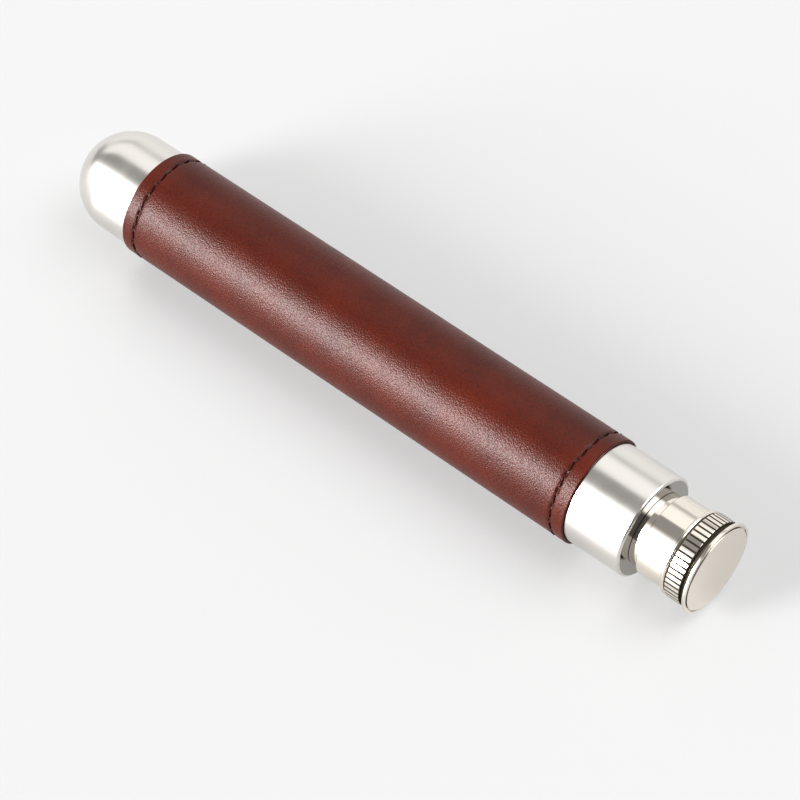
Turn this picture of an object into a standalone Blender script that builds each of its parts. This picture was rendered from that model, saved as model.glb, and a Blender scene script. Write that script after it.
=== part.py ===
"""A cigar-tube hip flask, lying on its side: a steel tube with a domed end, a sewn leather wrap and a screw cap.

Metres, +Z up. The flask's axis runs along +X, from the tip of the dome to the top of the cap, and the wrap rests
on the plane z = 0. Every turned piece is drawn in the flask's own frame, the empty flask_axis: its local Z is the
flask's axis, and a height is a distance along it from the tip of the dome.
"""

import math

import bmesh
import bpy
from mathutils import Matrix, Vector

# ---- driving dimensions ----
TUBE_RADIUS = 0.01225
STEEL_WALL = 0.0006
FIT_GAP = 0.0001  # between pieces that are pressed, brazed or glued together
FACETS = 32  # around every turned piece

DOME_JOINT = 0.0259  # height where the dome is welded to the tube
SHOULDER_JOINT = 0.1459  # height where the tube is welded to the shoulder
SPIGOT_LENGTH = 0.0040
SPIGOT_WALL = 0.0005
SHOULDER_FACE = 0.1640
SHOULDER_EDGE = 0.0009  # radius of the shoulder's rounded corner
SHOULDER_PLATE = 0.0008

WRAP_START = 0.0214
WRAP_END = 0.1494
WRAP_RADIUS = 0.01288
WRAP_INNER = 0.01245
HEM_RADIUS = 0.01292
HEM_EDGE_RADIUS = 0.01295
HEM_EDGE_ROUND = 0.0001
LINING_INNER = 0.01230
LINING_OUTER = 0.01240
LINING_INSET = 0.0003
STITCH_INSET = 0.0034  # from the wrap's end to its row of stitches
STITCH_GROOVE = 0.01258
STITCH_GROOVE_HALF = 0.0003
STITCH_RADIUS = 0.01275
THREAD_RADIUS = 0.00013
SEAM_FACETS_FROM_BOTTOM = 6
SEAM_WIDTH = 0.0005

NECK_RADIUS = 0.00805
NECK_HOLE_RADIUS = 0.00815
NECK_BORE = 0.0062
NECK_CORE = 0.0072
NECK_CREST = 0.0080
NECK_RIM = 0.1758
NECK_CORE_START = 0.1679
NECK_FLANGE_RADIUS = 0.0090
NECK_FLANGE = 0.0007
COLLAR_RADIUS = 0.0087
COLLAR_START = SHOULDER_FACE + FIT_GAP
COLLAR_END = 0.1665
CAP_RADIUS = 0.00965

THREAD_PITCH = 0.0020
THREAD_TURNS = 2.5
THREAD_START = 0.1694
THREAD_BASE = 0.0010  # ridge width at its root
THREAD_TIP = 0.0005
LINER_TURNS = 2.0
LINER_ROOT = 0.00835
LINER_CREST = 0.00755
LINER_OUTER = 0.0090
LINER_START = 0.1679
LINER_TOP = 0.1782
LINER_PLATE = 0.0010
SEAL_RADIUS = 0.0082
SEAL_START = 0.1759
SEAL_THICKNESS = 0.0012

SKIRT_START = 0.1667
BARREL_BORE = 0.0091
BEAD_START = 0.1733
BEAD_END = 0.1744
BEAD_RADIUS = 0.0103
KNURL_START = 0.1747
KNURL_END = 0.1784
KNURL_RADIUS = 0.01035
KNURL_FLUTES = 48
FLUTE_DEPTH = 0.00025
FLUTE_WIDTH = 0.00045
BARREL_TOP = 0.1787
BARREL_GROOVE_RADIUS = 0.0100
CROWN_GROOVE_RADIUS = 0.0096  # of the deep groove under the head

HEAD_START = 0.1788
HEAD_RADIUS = 0.0110
HEAD_RIM_START = 0.1797
HEAD_RIM_END = 0.1803
HEAD_TOP = 0.1804
HEAD_TOP_RADIUS = 0.0109
HEAD_RECESS_RADIUS = 0.0103
HEAD_RECESS_FLOOR = 0.1798
HEAD_REGISTER = 0.0003
DISC_RADIUS = 0.0102
DISC_EDGE = 0.0001
OVERALL_LENGTH = 0.1806

HALF_FACET = math.pi / FACETS
AXIS_HEIGHT = HEM_EDGE_RADIUS * math.cos(HALF_FACET)  # the wrap rests on one of its facets
TUBE_BORE = TUBE_RADIUS - STEEL_WALL
SPIGOT_RADIUS = TUBE_BORE - FIT_GAP
SPIGOT_BORE = SPIGOT_RADIUS - SPIGOT_WALL


# ---- scene, collections and materials ----
def clear_scene():
    for obj in list(bpy.data.objects):
        bpy.data.objects.remove(obj, do_unlink=True)


def new_collection(name):
    collection = bpy.data.collections.new(name)
    bpy.context.scene.collection.children.link(collection)
    return collection


def new_material(name, color, roughness, metallic):
    material = bpy.data.materials.new(name)
    material.use_nodes = True
    shader = material.node_tree.nodes["Principled BSDF"]
    shader.inputs["Base Color"].default_value = (*color, 1.0)
    shader.inputs["Roughness"].default_value = roughness
    shader.inputs["Metallic"].default_value = metallic
    return material


clear_scene()
PARTS = new_collection("hip_flask")
CUTTERS = new_collection("cutters")

SATIN_STEEL = new_material("satin stainless steel", (0.62, 0.61, 0.59), 0.35, 1.0)
POLISHED_NICKEL = new_material("polished nickel plate", (0.72, 0.69, 0.64), 0.12, 1.0)
OXBLOOD_LEATHER = new_material("oxblood leather", (0.14, 0.025, 0.018), 0.45, 0.0)
PALE_LINING = new_material("pale felt lining", (0.35, 0.30, 0.26), 0.9, 0.0)
DARK_THREAD = new_material("dark brown thread", (0.035, 0.008, 0.007), 0.7, 0.0)
WHITE_LINER = new_material("white polypropylene", (0.80, 0.80, 0.78), 0.4, 0.0)
CLEAR_SILICONE = new_material("translucent silicone", (0.62, 0.62, 0.60), 0.5, 0.0)


def flask_axis():
    """The empty whose local Z is the flask's axis, turned so that one facet faces the floor."""
    axis = bpy.data.objects.new("flask_axis", None)
    PARTS.objects.link(axis)
    axis.location = (-OVERALL_LENGTH / 2, 0.0, AXIS_HEIGHT)
    turn = Matrix.Rotation(math.pi / 2, 4, "Y") @ Matrix.Rotation(HALF_FACET, 4, "Z")
    axis.rotation_euler = turn.to_euler()
    return axis


AXIS = flask_axis()


# ---- shapes ----
def place(obj, material=None):
    """Puts an object in the flask's frame. Without a material it is a cutter or a shape that another one takes in."""
    for collection in list(obj.users_collection):
        collection.objects.unlink(obj)
    obj.parent = AXIS
    if material is None:
        CUTTERS.objects.link(obj)
        obj.hide_render = True
        obj.display_type = "WIRE"
    else:
        PARTS.objects.link(obj)
        obj.data.materials.append(material)
        if obj.type == "MESH":
            obj.data.shade_smooth()
            obj.data.set_sharp_from_angle(angle=math.radians(35))
    return obj


def arc(radius, height, size, start, end, steps):
    """Points (radius, height) on an arc about (radius, height). Angles in degrees, 0 outwards and 90 up the axis."""
    angles = [math.radians(start + (end - start) * i / steps) for i in range(steps + 1)]
    return [(radius + size * math.cos(a), height + size * math.sin(a)) for a in angles]


def turned(name, profile, material, closed=True):
    """A piece turned from a profile of (radius, height) points that runs down its outer side."""
    mesh = bpy.data.meshes.new(name)
    edges = [(i, i + 1) for i in range(len(profile) - 1)]
    if closed:
        edges.append((len(profile) - 1, 0))
    mesh.from_pydata([(radius, 0.0, height) for radius, height in profile], edges, [])
    obj = bpy.data.objects.new(name, mesh)
    screw = obj.modifiers.new("turn", "SCREW")
    screw.steps = screw.render_steps = FACETS
    screw.use_merge_vertices = True
    screw.merge_threshold = 0.00001
    return place(obj, material)


def join_or_cut(obj, other, operation):
    boolean = obj.modifiers.new(other.name, "BOOLEAN")
    boolean.operation = operation
    boolean.object = other


def helical_ridge(name, profile, turns):
    """A closed right-handed ridge along the axis, swept from a profile of (radius, height) points."""
    steps = round(FACETS * turns)
    bm = bmesh.new()
    face = bm.faces.new([bm.verts.new((radius, 0.0, height)) for radius, height in profile])
    bmesh.ops.spin(
        bm, geom=[face, *face.edges, *face.verts], cent=(0, 0, 0), axis=(0, 0, 1),
        dvec=(0, 0, THREAD_PITCH / FACETS), angle=2 * math.pi * turns, steps=steps,
    )
    bmesh.ops.recalc_face_normals(bm, faces=bm.faces)
    mesh = bpy.data.meshes.new(name)
    bm.to_mesh(mesh)
    bm.free()
    return place(bpy.data.objects.new(name, mesh))


def ridge_profile(root, crest, height):
    """A trapezoid whose root is sunk a little into the wall that carries it."""
    sunk = root + math.copysign(2 * FIT_GAP, root - crest)
    half_base, half_tip = THREAD_BASE / 2, THREAD_TIP / 2
    return [
        (sunk, height - half_base),
        (root, height - half_base),
        (crest, height - half_tip),
        (crest, height + half_tip),
        (root, height + half_base),
        (sunk, height + half_base),
    ]


# ---- steel body ----
def make_dome():
    inside = arc(0.0, TUBE_RADIUS, TUBE_BORE, -90, 0, 6)
    outside = arc(0.0, TUBE_RADIUS, TUBE_RADIUS, 0, -90, 8)
    profile = [
        *inside,
        (TUBE_BORE, DOME_JOINT - 2 * STEEL_WALL),
        (SPIGOT_BORE, DOME_JOINT),
        (SPIGOT_BORE, DOME_JOINT + SPIGOT_LENGTH),
        (SPIGOT_RADIUS, DOME_JOINT + SPIGOT_LENGTH),
        (SPIGOT_RADIUS, DOME_JOINT),
        (TUBE_RADIUS, DOME_JOINT),
        *outside,
    ]
    turned("base_dome", profile, SATIN_STEEL, closed=False)


def make_tube():
    bottom, top = DOME_JOINT + FIT_GAP, SHOULDER_JOINT - FIT_GAP
    profile = [(TUBE_RADIUS, top), (TUBE_RADIUS, bottom), (TUBE_BORE, bottom), (TUBE_BORE, top)]
    turned("body_tube", profile, SATIN_STEEL)


def make_shoulder():
    corner = arc(TUBE_RADIUS - SHOULDER_EDGE, SHOULDER_FACE - SHOULDER_EDGE, SHOULDER_EDGE, 90, 0, 3)
    underside = SHOULDER_FACE - SHOULDER_PLATE
    profile = [
        (NECK_HOLE_RADIUS, SHOULDER_FACE),
        *corner,
        (TUBE_RADIUS, SHOULDER_JOINT),
        (SPIGOT_RADIUS, SHOULDER_JOINT),
        (SPIGOT_RADIUS, SHOULDER_JOINT - SPIGOT_LENGTH),
        (SPIGOT_BORE, SHOULDER_JOINT - SPIGOT_LENGTH),
        (SPIGOT_BORE, SHOULDER_JOINT),
        (TUBE_BORE, SHOULDER_JOINT + 2 * STEEL_WALL),
        (TUBE_BORE, underside),
        (NECK_HOLE_RADIUS, underside),
    ]
    turned("shoulder_cap", profile, SATIN_STEEL)


def make_neck():
    flange_top = SHOULDER_FACE - SHOULDER_PLATE - FIT_GAP
    lip = (NECK_CORE - NECK_BORE) / 2
    profile = [
        *arc(NECK_BORE + lip, NECK_RIM - lip, lip, 180, 0, 6),
        (NECK_CORE, NECK_CORE_START),
        (NECK_RADIUS, NECK_CORE_START - (NECK_RADIUS - NECK_CORE)),
        (NECK_RADIUS, flange_top),
        (NECK_FLANGE_RADIUS, flange_top),
        (NECK_FLANGE_RADIUS, flange_top - NECK_FLANGE),
        (NECK_BORE, flange_top - NECK_FLANGE),
    ]
    neck = turned("neck_spout", profile, POLISHED_NICKEL)
    ridge = ridge_profile(NECK_CORE, NECK_CREST, THREAD_START)
    join_or_cut(neck, helical_ridge("neck_thread_shape", ridge, THREAD_TURNS), "UNION")


def make_collar():
    edge = 2 * FIT_GAP
    profile = [
        (COLLAR_RADIUS - edge, COLLAR_END),
        (COLLAR_RADIUS, COLLAR_END - edge),
        (COLLAR_RADIUS, COLLAR_START),
        (NECK_HOLE_RADIUS, COLLAR_START),
        (NECK_HOLE_RADIUS, COLLAR_END),
    ]
    turned("neck_collar", profile, POLISHED_NICKEL)


# ---- sewn wrap ----
def row_heights():
    return WRAP_START + STITCH_INSET, WRAP_END - STITCH_INSET


def groove(height):
    """The dent that a row of stitches pulls into the leather, from its upper edge to its lower one."""
    return [
        (WRAP_RADIUS, height + 2 * STITCH_GROOVE_HALF),
        (STITCH_GROOVE, height + STITCH_GROOVE_HALF),
        (STITCH_GROOVE, height - STITCH_GROOVE_HALF),
        (WRAP_RADIUS, height - 2 * STITCH_GROOVE_HALF),
    ]


def make_leather():
    dome_row, neck_row = row_heights()
    hem_middle = STITCH_INSET / 2
    profile = [
        (WRAP_INNER, WRAP_END),
        (HEM_EDGE_RADIUS - HEM_EDGE_ROUND, WRAP_END),
        (HEM_EDGE_RADIUS, WRAP_END - HEM_EDGE_ROUND),
        (HEM_RADIUS, WRAP_END - hem_middle),
        *groove(neck_row),
        *groove(dome_row),
        (HEM_RADIUS, WRAP_START + hem_middle),
        (HEM_EDGE_RADIUS, WRAP_START + HEM_EDGE_ROUND),
        (HEM_EDGE_RADIUS - HEM_EDGE_ROUND, WRAP_START),
        (WRAP_INNER, WRAP_START),
    ]
    leather = turned("wrap_leather", profile, OXBLOOD_LEATHER)
    join_or_cut(leather, make_seam_cutter(), "DIFFERENCE")


def seam_direction():
    """The way out through the back seam, in the flask's frame: local X faces the floor, half a facet off."""
    angle = (2 * SEAM_FACETS_FROM_BOTTOM - 1) * HALF_FACET
    return Vector((math.cos(angle), math.sin(angle), 0.0))


def make_seam_cutter():
    """A thin blade through one side of the wrap, where its two long edges meet."""
    bpy.ops.mesh.primitive_cube_add(size=1.0)
    blade = bpy.context.object
    blade.name = "seam_blade"
    depth = HEM_EDGE_RADIUS - WRAP_INNER
    out = seam_direction()
    length = WRAP_END - WRAP_START
    shape = Matrix.Diagonal((3 * depth, SEAM_WIDTH, 1.2 * length, 1.0))
    turn = Matrix.Rotation(math.atan2(out.y, out.x), 4, "Z")
    middle = out * (WRAP_INNER + depth / 2) + Vector((0, 0, WRAP_START + length / 2))
    blade.data.transform(Matrix.Translation(middle) @ turn @ shape)
    return place(blade)


def make_lining():
    top, bottom = WRAP_END - LINING_INSET, WRAP_START + LINING_INSET
    profile = [(LINING_OUTER, top), (LINING_OUTER, bottom), (LINING_INNER, bottom), (LINING_INNER, top)]
    turned("wrap_lining", profile, PALE_LINING)


def make_hem_threads():
    for end, height in zip(("dome", "neck"), row_heights()):
        bpy.ops.mesh.primitive_torus_add(
            major_radius=STITCH_RADIUS, minor_radius=THREAD_RADIUS, major_segments=FACETS, minor_segments=8
        )
        thread = bpy.context.object
        thread.name = f"hem_thread_{end}_end"
        thread.location = (0.0, 0.0, height)
        place(thread, DARK_THREAD)


def make_seam_thread():
    """One thread laces the back seam between the two rows of hem stitches."""
    dome_row, neck_row = row_heights()
    clear = 2 * STITCH_GROOVE_HALF + THREAD_RADIUS
    curve = bpy.data.curves.new("seam_thread", "CURVE")
    curve.dimensions = "3D"
    curve.bevel_depth = THREAD_RADIUS
    curve.bevel_resolution = 2
    curve.use_fill_caps = True
    spline = curve.splines.new("POLY")
    spline.points.add(1)
    for point, height in zip(spline.points, (dome_row + clear, neck_row - clear)):
        point.co = (*(seam_direction() * STITCH_RADIUS).xy, height, 1.0)
    place(bpy.data.objects.new("seam_thread", curve), DARK_THREAD)


# ---- screw cap ----
def make_cap_barrel():
    edge = 2 * FIT_GAP
    profile = [
        (BARREL_BORE, BARREL_TOP),
        (CROWN_GROOVE_RADIUS, BARREL_TOP),
        (CROWN_GROOVE_RADIUS, KNURL_END),
        (KNURL_RADIUS, KNURL_END),
        (KNURL_RADIUS, KNURL_START),
        (BARREL_GROOVE_RADIUS, KNURL_START),
        (BARREL_GROOVE_RADIUS, BEAD_END),
        (BEAD_RADIUS - edge, BEAD_END),
        (BEAD_RADIUS, BEAD_END - edge),
        (BEAD_RADIUS, BEAD_START + edge),
        (BEAD_RADIUS - edge, BEAD_START),
        (CAP_RADIUS, BEAD_START),
        (CAP_RADIUS, SKIRT_START + edge),
        (CAP_RADIUS - edge, SKIRT_START),
        (BARREL_BORE, SKIRT_START),
    ]
    barrel = turned("cap_barrel", profile, POLISHED_NICKEL)
    join_or_cut(barrel, make_flute_cutter(), "DIFFERENCE")


def make_flute_cutter():
    """A ring of V-shaped blades that cut the straight knurl's flutes, each a little longer than the knurl."""
    bm = bmesh.new()
    overrun = (BARREL_TOP - KNURL_END) / 2
    height = KNURL_END - KNURL_START + 2 * overrun
    for flute in range(KNURL_FLUTES):
        made = bmesh.ops.create_cone(
            bm, cap_ends=True, segments=3, radius1=FLUTE_WIDTH, radius2=FLUTE_WIDTH, depth=height
        )
        # the prism's first corner points inwards and reaches FLUTE_DEPTH into the knurl
        seat = Vector((KNURL_RADIUS - FLUTE_DEPTH + FLUTE_WIDTH, 0.0, (KNURL_START + KNURL_END) / 2))
        inwards = Matrix.Rotation(math.pi / 2, 4, "Z")
        around = Matrix.Rotation(2 * math.pi * flute / KNURL_FLUTES, 4, "Z")
        bmesh.ops.transform(bm, matrix=around @ Matrix.Translation(seat) @ inwards, verts=made["verts"])
    mesh = bpy.data.meshes.new("knurl_blades")
    bm.to_mesh(mesh)
    bm.free()
    return place(bpy.data.objects.new("knurl_blades", mesh))


def make_cap_head():
    register = BARREL_BORE - FIT_GAP
    profile = [
        (0.0, HEAD_RECESS_FLOOR),
        (HEAD_RECESS_RADIUS, HEAD_RECESS_FLOOR),
        (HEAD_RECESS_RADIUS, HEAD_TOP),
        (HEAD_TOP_RADIUS, HEAD_TOP),
        (HEAD_RADIUS, HEAD_RIM_END),
        (HEAD_RADIUS, HEAD_RIM_START),
        (CROWN_GROOVE_RADIUS, HEAD_RIM_START - FIT_GAP),
        (CROWN_GROOVE_RADIUS, HEAD_START),
        (register, HEAD_START),
        (register, BARREL_TOP - HEAD_REGISTER),
        (0.0, BARREL_TOP - HEAD_REGISTER),
    ]
    turned("cap_head", profile, POLISHED_NICKEL, closed=False)


def make_top_disc():
    profile = [
        (0.0, OVERALL_LENGTH),
        (DISC_RADIUS - DISC_EDGE, OVERALL_LENGTH),
        (DISC_RADIUS, OVERALL_LENGTH - DISC_EDGE),
        (DISC_RADIUS, HEAD_RECESS_FLOOR + FIT_GAP),
        (0.0, HEAD_RECESS_FLOOR + FIT_GAP),
    ]
    turned("cap_top_disc", profile, SATIN_STEEL, closed=False)


def make_thread_liner():
    profile = [
        (0.0, LINER_TOP),
        (LINER_OUTER, LINER_TOP),
        (LINER_OUTER, LINER_START),
        (LINER_ROOT, LINER_START),
        (LINER_ROOT, LINER_TOP - LINER_PLATE),
        (0.0, LINER_TOP - LINER_PLATE),
    ]
    liner = turned("cap_thread_liner", profile, WHITE_LINER, closed=False)
    # half a pitch above the neck's ridge, so that the two threads are in mesh
    ridge = ridge_profile(LINER_ROOT, LINER_CREST, THREAD_START + THREAD_PITCH / 2)
    join_or_cut(liner, helical_ridge("liner_thread_shape", ridge, LINER_TURNS), "UNION")


def make_seal():
    top = SEAL_START + SEAL_THICKNESS
    profile = [(0.0, top), (SEAL_RADIUS, top), (SEAL_RADIUS, SEAL_START), (0.0, SEAL_START)]
    turned("cap_seal_disc", profile, CLEAR_SILICONE, closed=False)


make_dome()
make_tube()
make_shoulder()
make_neck()
make_collar()
make_lining()
make_leather()
make_hem_threads()
make_seam_thread()
make_cap_barrel()
make_cap_head()
make_top_disc()
make_thread_liner()
make_seal()
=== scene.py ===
"""The finish and the studio of a cigar-tube hip flask, laid out as an add-on around the flask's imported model.

Metres. The flask lies along +X, from the tip of its dome to the top of its cap, and its wrap rests on z = 0.
A turned piece is an outline of (radius, height, rounding) points, spun about the flask's axis. A height is a
distance along that axis from the tip of the dome, and rounding is how far from a corner its round starts. An
angle about the axis is 0 at the top and grows towards -Y.
"""

import math

import bmesh
import bpy
from bpy.props import FloatProperty, FloatVectorProperty, IntProperty, PointerProperty
from mathutils import Matrix, Vector, noise


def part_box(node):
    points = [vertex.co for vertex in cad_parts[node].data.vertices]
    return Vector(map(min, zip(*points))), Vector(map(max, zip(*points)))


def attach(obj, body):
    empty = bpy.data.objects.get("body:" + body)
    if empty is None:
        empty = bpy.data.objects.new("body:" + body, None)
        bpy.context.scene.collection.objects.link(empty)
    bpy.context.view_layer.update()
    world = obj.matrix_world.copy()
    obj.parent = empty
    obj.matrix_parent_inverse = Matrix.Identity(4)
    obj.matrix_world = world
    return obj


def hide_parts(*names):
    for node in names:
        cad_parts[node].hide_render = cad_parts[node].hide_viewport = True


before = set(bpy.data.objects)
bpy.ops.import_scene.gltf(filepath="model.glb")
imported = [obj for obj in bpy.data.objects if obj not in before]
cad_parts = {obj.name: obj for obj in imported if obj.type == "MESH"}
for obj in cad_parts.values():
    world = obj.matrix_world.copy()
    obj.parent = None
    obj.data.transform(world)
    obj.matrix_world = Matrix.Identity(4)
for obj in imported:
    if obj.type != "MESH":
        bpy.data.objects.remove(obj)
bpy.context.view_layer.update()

bl_info = {
    "name": "Cigar-Tube Hip Flask",
    "version": (1, 0, 0),
    "blender": (4, 5, 0),
    "location": "View3D > Sidebar > Flask",
    "description": "Models a leather-wrapped steel flask with a screw cap, and the studio around it",
    "category": "Add Mesh",
}

RING_STEPS = 192  # around a turned piece
ARC_STEPS = 32  # from the dome's rim to its tip
ROUND_STEPS = 5  # across a rounded corner
WELD = 1e-7
SHARP_ANGLE = math.radians(40)
FIT_GAP = 0.0001  # between pieces that are pressed or glued together
RIDGE_FADE = 1 / 6  # turns over which a thread's ridge fades at each end
RIDGE_LEAST = 0.02  # share of its height that the ridge keeps there
ROW_WANDER = ((0.00012, 3, 2.1), (0.00007, 7, 1.0))  # metres, waves around the flask, phase from row to row


# ---- places and sizes, read from the frame ----
def half_height(node):
    """Half of a node's height above the floor, which is a turned piece's radius."""
    low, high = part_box(node)
    return (high.z - low.z) / 2


def span(node):
    """The heights where a node starts and ends."""
    low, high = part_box(node)
    return low.x - TIP, high.x - TIP


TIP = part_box("base_dome")[0].x
AXIS = Vector((0.0, 0.0, half_height("wrap_leather")))
TUBE_RADIUS = half_height("base_dome")
TUBE_START, TUBE_END = span("body_tube")
SHOULDER_FACE = span("shoulder_cap")[1]
WRAP_START, WRAP_END = span("wrap_leather")
WRAP_RADIUS = half_height("wrap_leather")
NECK_START, NECK_RIM = span("neck_spout")
SKIRT_START, BARREL_TOP = span("cap_barrel")
HEAD_FOOT, HEAD_TOP = span("cap_head")
DISC_UNDERSIDE, DISC_FACE = span("cap_top_disc")


def linear(hex_colour):
    """An sRGB hex colour as linear red, green and blue."""
    channels = (int(hex_colour[i:i + 2], 16) / 255 for i in (1, 3, 5))
    return tuple(c / 12.92 if c <= 0.04045 else ((c + 0.055) / 1.055) ** 2.4 for c in channels)


# ---- settings ----
def length(name, description, default):
    return FloatProperty(
        name=name, description=description, default=default, min=0.0, unit="LENGTH", precision=5
    )


def colour(name, description, default):
    return FloatVectorProperty(
        name=name, description=description, default=linear(default), min=0.0, max=1.0, size=3, subtype="COLOR"
    )


class FlaskSteelSettings(bpy.types.PropertyGroup):
    steel: colour("Steel", "Colour of the satin stainless steel", "#DFDBD6")
    nickel: colour("Nickel", "Colour of the nickel plate on the neck and the cap", "#E7E0D6")
    wall: length("Wall", "Thickness of the drawn steel", 0.0006)
    spigot_wall: length("Spigot wall", "Thickness of the collars inside the two welds", 0.0005)
    shoulder_edge: length("Shoulder edge", "How far the shoulder's corner is rounded", 0.0006)
    shoulder_plate: length("Shoulder plate", "Thickness of the shoulder's flat end", 0.0008)
    neck_bore: length("Neck bore", "Radius of the pouring hole", 0.0062)
    neck_core: length("Thread core", "Radius of the neck between the turns of its thread", 0.0072)
    neck_crest: length("Thread crest", "Radius of the neck's thread", 0.0080)
    neck_foot: length("Neck foot", "Radius of the neck where it leaves the shoulder", 0.00805)
    thread_pitch: length("Thread pitch", "Rise of the thread in one turn", 0.0020)


class FlaskWrapSettings(bpy.types.PropertyGroup):
    leather: colour("Leather", "Colour of the leather's finish", "#571A05")
    # the darker end of the dye's unevenness, also used as painted shade in the creases, the stitch dents and the
    # needle holes
    leather_dark_dye_and_shade: colour("Leather shade", "Colour of the leather in its pores and dents", "#2C0A05")
    thread: colour("Thread", "Colour of the sewing thread", "#2E0E0A")
    lining: colour("Lining", "Colour of the felt under the leather", "#A89C90")
    inner_radius: length("Inner radius", "Inner radius of the leather", 0.01242)
    hem_inset: length("Hem", "From the leather's cut edge to its row of stitches", 0.0034)
    stitch_count: IntProperty(name="Stitches", description="Stitches in each hem", default=20, min=4)
    stitch_share: FloatProperty(
        name="Stitch share", description="Share of each step that the stitch covers", default=0.70,
        min=0.1, max=1.0,
    )
    thread_radius: length("Thread radius", "Half of the thread's thickness", 0.0002)
    dent: length("Dent", "How deep a row of stitches pulls into the leather", 0.00016)
    hole: length("Hole", "How much deeper the leather is at each needle hole", 0.00034)
    seam_angle: FloatProperty(
        name="Seam", description="Angle of the long seam about the axis", default=math.radians(-112.5),
        unit="ROTATION",
    )
    seam_gap: length("Seam gap", "Distance between the two edges that the seam draws together", 0.0003)
    seam_step: length("Seam step", "Distance between the crosses of the seam's lacing", 0.0040)


class FlaskCapSettings(bpy.types.PropertyGroup):
    bore: length("Bore", "Inner radius of the barrel", 0.0091)
    skirt_radius: length("Skirt", "Radius of the smooth skirt", 0.00965)
    bead_start: length("Bead start", "From the skirt's edge to the bead", 0.0066)
    bead_width: length("Bead width", "Width of the half-round bead", 0.0011)
    bead_radius: length("Bead radius", "Radius of the cap at the top of the bead", 0.0103)
    groove_radius: length("Groove", "Radius of the groove between the bead and the knurl", 0.0100)
    knurl_start: length("Knurl start", "From the skirt's edge to the knurl", 0.0080)
    knurl_width: length("Knurl width", "Width of the knurled band", 0.0037)
    knurl_radius: length("Knurl radius", "Radius over the knurl's lands", 0.01035)
    flutes: IntProperty(name="Flutes", description="Straight flutes around the knurl", default=48, min=3)
    flute_depth: length("Flute depth", "Depth of each flute", 0.00035)
    crown_groove: length("Crown groove", "Radius of the deep groove under the head", 0.0096)
    rim_width: length("Rim width", "Width of the head's rim", 0.0007)
    liner: colour("Liner", "Colour of the moulded thread liner", "#E9E8E2")
    seal: colour("Seal", "Colour of the sealing disc", "#D0CFC8")


class FlaskStudioSettings(bpy.types.PropertyGroup):
    # painted light: the floor glows by itself, with no lamp under it, which keeps the flask's shadow on it faint
    floor: colour("Floor", "Colour of the floor, a white sheet that is also lit from below", "#FDFDFD")
    floor_painted_glow: FloatProperty(
        name="Floor glow", description="Strength of the light through the floor", default=0.425
    )
    camera_angle: FloatProperty(
        name="Camera angle", description="How far round from the front the camera stands",
        default=math.radians(40.94), unit="ROTATION",
    )
    camera_rise: FloatProperty(
        name="Camera rise", description="How far above the horizon the camera stands",
        default=math.radians(50.20), unit="ROTATION",
    )
    camera_distance: length("Camera distance", "From the camera to the point that it faces", 0.7045)
    camera_lens: FloatProperty(
        name="Lens", description="Focal length in millimetres", default=146.25, min=1.0
    )
    light: FloatProperty(name="Light", description="Strength of the studio's light", default=1.0, min=0.0)


# ---- shaders ----
def feed(tree, node, inputs):
    """Sets each input of a node to a value, or links the socket that feeds it."""
    for name, value in inputs.items():
        if isinstance(value, bpy.types.NodeSocket):
            tree.links.new(value, node.inputs[name])
        else:
            node.inputs[name].default_value = value


def add_node(tree, kind, inputs=None, **settings):
    """Adds a node with its own settings, and feeds its inputs."""
    node = tree.nodes.new("ShaderNode" + kind)
    for name, value in settings.items():
        setattr(node, name, value)
    feed(tree, node, inputs or {})
    return node


def new_material(name):
    """A material, its node tree and its Principled shader. A name that is already there is made afresh."""
    material = bpy.data.materials.get(name) or bpy.data.materials.new(name)
    material.use_nodes = True
    tree = material.node_tree
    for node in tree.nodes.values():
        if node.type not in {"BSDF_PRINCIPLED", "OUTPUT_MATERIAL"}:
            tree.nodes.remove(node)
    return material, tree, tree.nodes["Principled BSDF"]


MIX_FACTOR, MIX_A, MIX_B = 0, 6, 7  # a colour Mix node's sockets, whose names it shares with its other kinds
MIX_RESULT = 2


def satin_stainless_steel():
    """Drawn 304 stainless steel, satin finished on a lathe: broad even highlights, with faint rings around."""
    material, tree, shader = new_material("satin stainless steel")
    place = add_node(tree, "TexCoord").outputs["Object"]
    # the belt leaves rings 0.05 mm apart, drawn at 0.15 mm so that they show
    across = add_node(tree, "Mapping", {"Vector": place, "Scale": (1 / 0.00015, 40, 40)})
    rings = add_node(tree, "TexNoise", {"Vector": across.outputs[0], "Scale": 1.0, "Detail": 3.0})
    # handling leaves the polish uneven every few millimetres
    hands = add_node(tree, "TexNoise", {"Vector": place, "Scale": 1 / 0.006, "Detail": 4.0})
    rough = add_node(
        tree, "MapRange",
        {"Value": hands.outputs[0], "From Min": 0.3, "From Max": 0.7, "To Min": 0.20, "To Max": 0.27},
    )
    bump = add_node(tree, "Bump", {"Height": rings.outputs[0], "Strength": 0.35, "Distance": 0.000004})
    feed(tree, shader, {
        "Base Color": (*bpy.context.scene.flask_steel.steel, 1.0),
        "Metallic": 1.0,
        "Roughness": rough.outputs[0],
        "Normal": bump.outputs[0],
    })
    return material


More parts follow.
